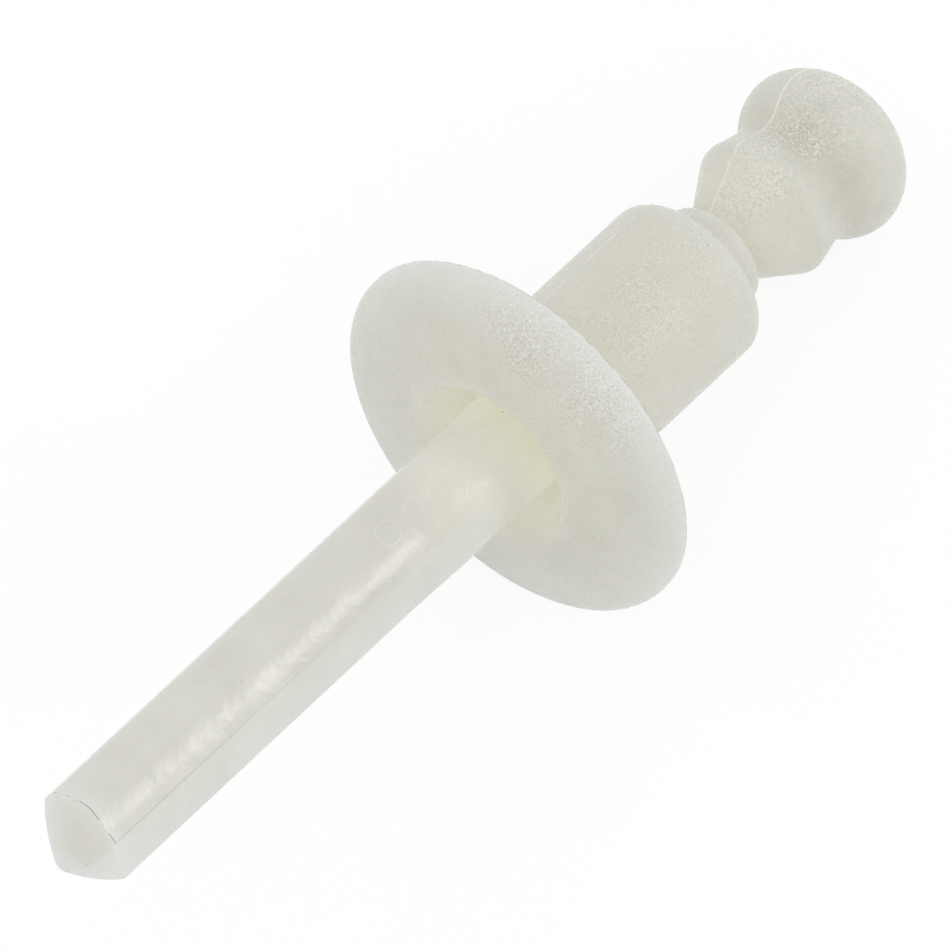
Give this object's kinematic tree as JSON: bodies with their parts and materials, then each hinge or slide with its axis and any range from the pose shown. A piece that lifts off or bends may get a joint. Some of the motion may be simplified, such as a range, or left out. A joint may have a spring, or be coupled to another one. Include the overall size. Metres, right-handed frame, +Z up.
{
  "type": "pop rivet",
  "caption": "Translucent nylon blind rivet before setting: a mandrel with a cone and ball head runs through a hollow shank with a wide domed flange.",
  "frame": {"origin": "middle of the lying rivet's footprint, on the table under it", "axes": "+X along the rivet from its stem towards its ball, level, +Z up; the rivet's own axis lies in the XZ plane and slopes down towards the ball by about 13 degrees"},
  "size_m": [0.0329, 0.0112, 0.0113],
  "materials": {
    "body_nylon": "natural translucent nylon with a fine spark-eroded grain",
    "mandrel_nylon": "natural translucent nylon, smooth stem and finely grained head"
  },
  "bodies": {
    "root": {"rivet_body": "body_nylon", "mandrel": "mandrel_nylon"}
  },
  "joints": []
}
